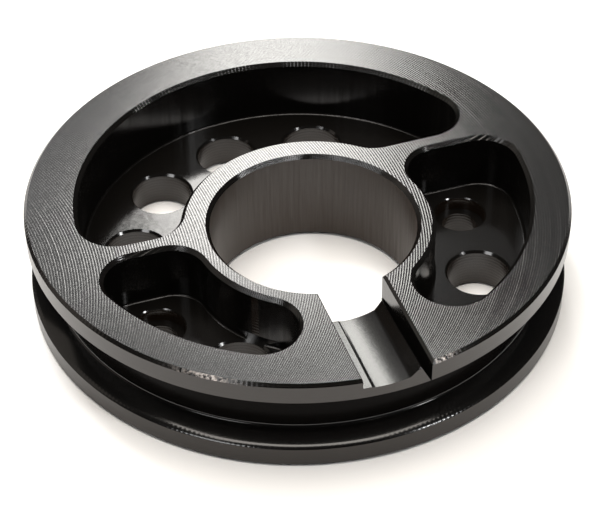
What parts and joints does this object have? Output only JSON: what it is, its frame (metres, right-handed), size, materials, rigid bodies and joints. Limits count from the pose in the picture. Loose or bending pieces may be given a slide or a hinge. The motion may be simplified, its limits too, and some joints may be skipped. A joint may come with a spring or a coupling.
{
  "type": "sailboat winch rope drum",
  "caption": "Low round rope drum with a grooved rim, an off-centre shaft bore, milled pockets, screw holes and a sloping slot from bore to rim.",
  "frame": {"origin": "centre of the round rim on the lower face", "axes": "+Z along the drum's axis, out of the pocketed face; -Y towards the end of the sloping slot, which points 71.3 degrees clockwise of +X; the shaft bore is moved the same way"},
  "size_m": [0.062, 0.062, 0.012],
  "materials": {
    "black_anodised_aluminium": "black anodised, satin milled faces with glossy chamfers"
  },
  "bodies": {
    "root": {"drum_body": "black_anodised_aluminium"}
  },
  "joints": []
}
